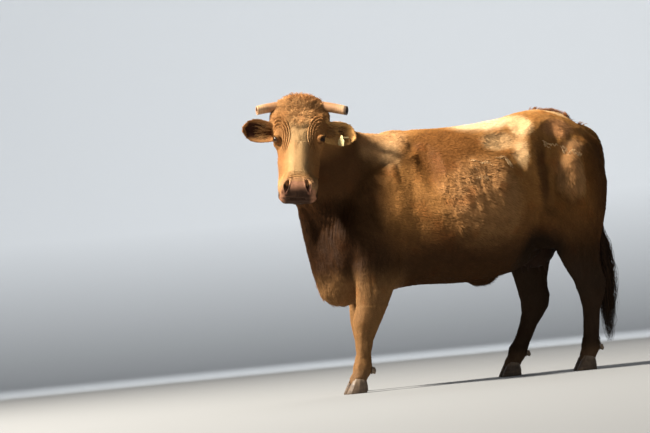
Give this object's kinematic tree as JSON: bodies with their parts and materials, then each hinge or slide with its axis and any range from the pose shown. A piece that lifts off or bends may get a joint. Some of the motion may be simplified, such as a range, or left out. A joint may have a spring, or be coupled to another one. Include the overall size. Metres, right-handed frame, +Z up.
{
  "type": "cow",
  "caption": "Life-size standing beef cow that looks to its left, with short sawn-off horns, a deep brisket and a blank ear tag.",
  "frame": {"origin": "on the floor, under the middle of the model's bounding box", "axes": "+Z up; the cow's body faces -Y; +X is the cow's left side, the side it turns its head to"},
  "size_m": [0.7848, 2.0404, 1.587],
  "materials": {
    "coat": "short golden tan hair over hide",
    "horn": "satin horn, sawn end",
    "hoof": "dull ridged horn",
    "eye": "wet gloss",
    "tail_hair": "long coarse hair",
    "udder_skin": "bare skin with fine hair",
    "tag_plastic": "moulded, blank"
  },
  "bodies": {
    "root": {"claw_fore_left_inner": "hoof", "claw_fore_left_outer": "hoof", "claw_fore_right_inner": "hoof", "claw_fore_right_outer": "hoof", "claw_hind_left_inner": "hoof", "claw_hind_left_outer": "hoof", "claw_hind_right_inner": "hoof", "claw_hind_right_outer": "hoof", "dewclaw_fore_left_inner": "hoof", "dewclaw_fore_left_outer": "hoof", "dewclaw_fore_right_inner": "hoof", "dewclaw_fore_right_outer": "hoof", "dewclaw_hind_left_inner": "hoof", "dewclaw_hind_left_outer": "hoof", "dewclaw_hind_right_inner": "hoof", "dewclaw_hind_right_outer": "hoof", "ear_left": "coat", "ear_right": "coat", "ear_tag": "tag_plastic", "eye_left": "eye", "eye_right": "eye", "foreleg_left": "coat", "foreleg_right": "coat", "head": "coat", "hindleg_left": "coat", "hindleg_right": "coat", "horn_left": "horn", "horn_right": "horn", "neck": "coat", "tail": "coat", "tail_switch": "tail_hair", "trunk": "coat", "udder": "udder_skin"}
  },
  "joints": []
}
